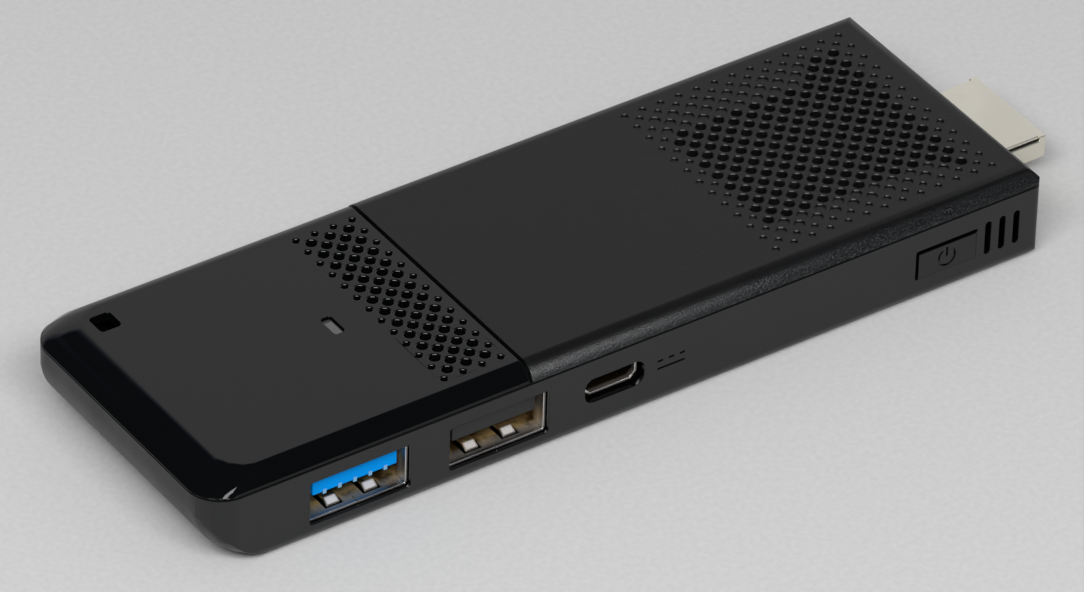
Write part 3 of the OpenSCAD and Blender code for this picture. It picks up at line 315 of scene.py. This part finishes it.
# The USB 3 contacts are painted a pale blue: painted glints on their tips
glint_tip_skin, tree, shader, place = material("glinting_contact_tips", Metallic=0.6)
grain = grain_of(tree, place, 0.0001)
feed(tree, shader, Base_Color=blend(tree, grain["Patch"], (0.2, 0.5, 0.8, 1), (0.3, 0.6, 0.85, 1)),
     Roughness=ramp(tree, grain["Patch"], 0.3, 0.7, 0.25, 0.35))
dress("usb3_contacts", glint_tip_skin)

blue_skin, tree, shader, place = material("blue_tongue", Specular_IOR_Level=0.03)
grain = grain_of(tree, place, 0.0001)
feed(tree, shader, Base_Color=blend(tree, grain["Patch"], (0.0, 0.27, 0.8, 1), (0.0, 0.31, 0.88, 1)),
     Roughness=ramp(tree, grain["Patch"], 0.3, 0.7, 0.35, 0.5))
bump(tree, shader, grain["Height"], 0.000004)
dress("usb3_tongue", blue_skin, edge=0.00015)

black_skin, tree, shader, place = material("black_moulding")
grain = grain_of(tree, place, 0.0001)
feed(tree, shader, Base_Color=blend(tree, grain["Patch"], grey(0.008), grey(0.012)),
     Roughness=ramp(tree, grain["Patch"], 0.3, 0.7, 0.4, 0.55))
bump(tree, shader, grain["Height"], 0.000005)
dress("usb2_tongue micro_usb_tongue hdmi_insert card_socket_base switch_plunger fan_base fan_rotor", black_skin,
      edge=0.0001)

# The plug: a shell of champagne-coloured nickel plate, folded with a slit along each upper edge.
plug_skin, tree, shader, place = material("champagne_nickel_plate", Metallic=0.9)
grain = grain_of(tree, place, 0.0002)
feed(tree, shader, Base_Color=blend(tree, grain["Patch"], (0.75, 0.72, 0.62, 1), (0.83, 0.795, 0.69, 1)),
     Roughness=ramp(tree, grain["Patch"], 0.3, 0.7, 0.24, 0.34))
bump(tree, shader, grain["Patch"], 0.000006)
dress("hdmi_shell", plug_skin, edge=0.0001)

# The heat path and the fan: a copper plate on a soft pad, and a blower under a thin steel lid.
copper_skin, tree, shader, place = material("rolled_copper", Metallic=1.0)
grain = grain_of(tree, place, 0.0003)
feed(tree, shader, Base_Color=blend(tree, grain["Patch"], (0.6, 0.28, 0.15, 1), (0.7, 0.34, 0.2, 1)),
     Roughness=ramp(tree, grain["Patch"], 0.3, 0.7, 0.3, 0.45))
dress("heat_spreader fan_stator fan_bearing", copper_skin)

pad_skin, tree, shader, place = material("soft_pad", Roughness=0.9)
grain = grain_of(tree, place, 0.0003)
feed(tree, shader, Base_Color=blend(tree, grain["Height"], (0.25, 0.32, 0.38, 1), (0.33, 0.4, 0.46, 1)))
dress("thermal_pad", pad_skin)

lid_skin, tree, shader, place = material("steel_lid", Metallic=1.0)
grain = grain_of(tree, place, 0.0003)
feed(tree, shader, Base_Color=blend(tree, grain["Patch"], grey(0.25), grey(0.32)),
     Roughness=ramp(tree, grain["Patch"], 0.3, 0.7, 0.35, 0.5))
dress("fan_lid", lid_skin)

# The matte cover: moulded in a spark-eroded tool whose fine grain glitters where the edge turns, then snapped in; the
# glitter along the long edge is painted glints, pale specks in its colour.
# Its vent holes keep the edges that the tool gave them.
matte_skin, tree, shader, place = material("matte_cover_plastic", Specular_IOR_Level=0.22)
grain = grain_of(tree, place, 0.00018)
x, y, z = add(tree, "ShaderNodeSeparateXYZ", {0: place}).outputs
cover_low, cover_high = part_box("top_cover")
top = cover_high[2]
glints_per_metre = 5000.0
glint_z, flat_z = top - 0.0009, top - 0.0004
glint_y, flat_y = cover_low[1] + 0.0018, cover_low[1] + 0.0024
grain_z, smooth_z = top - 0.0007, top - 0.0002
# Painted glints: pale cool specks in the colour where the long edge turns
glint_noise = add(tree, "ShaderNodeTexNoise", {"Vector": place, "Scale": glints_per_metre, "Detail": 2.0}).outputs[0]
long_edge = both(tree, ramp(tree, z, glint_z, flat_z, 1.0, 0.0), ramp(tree, y, glint_y, flat_y, 1.0, 0.0))
painted_glints = both(tree, long_edge, ramp(tree, glint_noise, 0.5, 0.66))
skin = blend(tree, grain["Patch"], grey(0.003, -0.02), grey(0.004, -0.02))
feed(tree, shader, Base_Color=blend(tree, painted_glints, skin, grey(0.024, -0.12)),
     Roughness=ramp(tree, grain["Patch"], 0.3, 0.7, 0.27, 0.29))
bump(tree, shader, both(tree, grain["Height"], ramp(tree, z, grain_z, smooth_z, 1.0, 0.01)), 0.00005)
grid_half, over_top = 0.0165, 0.02
grid_from, grid_to = 0.0155, 0.0487
dress("top_cover", matte_skin, edge=0.00012, apart=((grid_from, -grid_half, 0), (grid_to, grid_half, over_top)))

# The gloss cover: polished black plastic with a soft lip at its rim and at the split, snapped in at the end.
# Its vent holes have rounded upper lips, and sharp edges below them.
gloss_skin, tree, shader, place = material("piano_black_plastic", Specular_IOR_Level=0.28)
grain = grain_of(tree, place, 0.0002)
feed(tree, shader, Base_Color=blend(tree, grain["Patch"], grey(0.0018, -0.1), grey(0.0024, -0.1)),
     Roughness=ramp(tree, grain["Patch"], 0.3, 0.7, 0.03, 0.07))
gloss_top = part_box("gloss_cover")[1][2]
small_from, small_to, lip_depth = -0.0295, -0.0194, 0.00005
dress("gloss_cover", gloss_skin, edge=0.00008,
      apart=((small_from, -grid_half, 0), (small_to, grid_half, gloss_top - lip_depth)), sharp_from=0.7, held=False)

# The lamp's window: a smoky clear pipe with a frosted end, pushed up into the gloss cover from below, with painted
# shade along its far end and far side.
lens_skin, tree, shader, place = material("frosted_lens")
grain = grain_of(tree, place, 0.0001)
x, y, z = add(tree, "ShaderNodeSeparateXYZ", {0: place}).outputs
lens_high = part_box("led_light_pipe")[1]
# Painted shade: the far end and far side of the pipe are painted nearly black, as the shade of the window's far walls
far_end = ramp(tree, y, lens_high[1] - 0.0007, lens_high[1] - 0.0005)
far_side = ramp(tree, x, lens_high[0] - 0.00025, lens_high[0] - 0.00015)
shaded = add(tree, "ShaderNodeMath", {0: far_end, 1: far_side}, operation="MAXIMUM")
lens = blend(tree, grain["Patch"], grey(0.08), grey(0.11))
feed(tree, shader, Base_Color=blend(tree, shaded.outputs[0], lens, grey(0.004)),
     Roughness=ramp(tree, grain["Patch"], 0.3, 0.7, 0.2, 0.3))
bump(tree, shader, grain["Height"], 0.000006)
dress("led_light_pipe", lens_skin, edge=0.00008)

# The table: a pale grey sheet of paper that keeps the soft shadow.
side = 1.5
paper = bpy.data.meshes.new("paper")
paper.from_pydata([(-side, -side, 0), (side, -side, 0), (side, side, 0), (-side, side, 0)], [], [(0, 1, 2, 3)])
floor = bpy.data.objects.new("paper", paper)
bpy.context.scene.collection.objects.link(floor)
floor_skin, tree, shader, place = material("pale_paper", Roughness=0.9, Specular_IOR_Level=0.1)
fibres_per_metre = 1400.0
fibre = add(tree, "ShaderNodeTexNoise", {"Vector": place, "Scale": fibres_per_metre, "Detail": 5.0})
feed(tree, shader, Base_Color=blend(tree, fibre.outputs[0], grey(0.53), grey(0.65)))
paper.materials.append(floor_skin)

# The light: two softboxes beside the camera, and a room whose wall is lit behind the object up to a dark ceiling.
# Mirror-like faces see the wall and the ceiling, everything else the room's even mean.
wall_light, dark_light, mean_light = 0.8, 0.05, 0.3
wall_way, wall_starts, wall_full = (0.8, 0.6, 0), 0.2, 0.45
wall_top, ceiling = 0.66, 0.71
world = bpy.data.worlds.new("room")
bpy.context.scene.world = world
world.use_nodes = True
tree = world.node_tree
sky = tree.nodes["Background"]
gaze = tree.nodes.new("ShaderNodeTexCoord").outputs["Generated"]
rise = add(tree, "ShaderNodeSeparateXYZ", {0: gaze}).outputs["Z"]
aside = add(tree, "ShaderNodeVectorMath", {0: gaze, 1: wall_way}, operation="DOT_PRODUCT").outputs["Value"]
lit = both(tree, ramp(tree, rise, wall_top, ceiling, 1.0, 0.0), ramp(tree, aside, wall_starts, wall_full))
mirror = add(tree, "ShaderNodeLightPath").outputs["Is Glossy Ray"]
seen = add(tree, "ShaderNodeMix", {0: mirror, 2: mean_light, 3: ramp(tree, lit, 0.0, 1.0, dark_light, wall_light)})
tree.links.new(seen.outputs[0], sky.inputs["Strength"])
shade = add(tree, "ShaderNodeMath", {0: mirror, 1: lit}, operation="SUBTRACT", use_clamp=True).outputs[0]
tree.links.new(blend(tree, shade, (1, 1, 1, 1), (0.75, 0.8, 1.15, 1)), sky.inputs["Color"])

box_wide, box_high, box_watts = 0.5, 0.3, 5.0
for name, way in (("softbox_left", (-0.555, -0.374, 0.743)), ("softbox_right", (-0.162, -0.649, 0.743))):
    softbox = bpy.data.lights.new(name, "AREA")
    softbox.shape, softbox.size, softbox.size_y, softbox.energy = "RECTANGLE", box_wide, box_high, box_watts
    lamp = bpy.data.objects.new(name, softbox)
    bpy.context.scene.collection.objects.link(lamp)
    lamp.location = way
    lamp.rotation_euler = Vector(way).to_track_quat("Z", "Y").to_euler()

# A tall strip of light at the front, to the right, glances off the matte cover's long edge and off nothing else
strip_wide, strip_high, strip_watts, strip_spread = 0.018, 0.14, 0.027, 1.2
strip_at = (0.038, -0.126, 0.073)
strip = bpy.data.lights.new("strip", "AREA")
strip.shape, strip.size, strip.size_y, strip.energy = "RECTANGLE", strip_wide, strip_high, strip_watts
strip.spread = strip_spread
lamp = bpy.data.objects.new("strip", strip)
bpy.context.scene.collection.objects.link(lamp)
away, along = np.array([0.46, -0.77, 0.445]), np.array([0.0, 0.5, 0.866])
faced = Matrix(np.column_stack([np.cross(along, away), along, away]).tolist()).to_4x4()
lamp.matrix_world = Matrix.Translation(strip_at) @ faced
lamp.visible_camera = False
lamp.light_linking.receiver_collection = bpy.data.collections.new("glanced_edge")
lamp.light_linking.receiver_collection.objects.link(nodes["top_cover"])

# The camera, placed as the picture's lines give it.
ahead = np.array([0.4593877, 0.6554100, -0.5995004])
right = np.array([0.8286867, -0.5592131, 0.0236441])
up = np.cross(right, ahead)
stand, focal_mm, film_mm = (-0.4913259, -0.6945553, 0.6396545), 310.496, 36
view = bpy.data.cameras.new("camera")
view.sensor_width, view.lens, view.clip_start, view.clip_end = film_mm, focal_mm, 0.05, 10
camera = bpy.data.objects.new("camera", view)
bpy.context.scene.collection.objects.link(camera)
turned = Matrix(np.column_stack([right, up, -ahead]).tolist()).to_4x4()
camera.matrix_world = Matrix.Translation(stand) @ turned
bpy.context.scene.camera = camera
bpy.context.scene.view_settings.view_transform = "Standard"

bpy.context.view_layer.update()
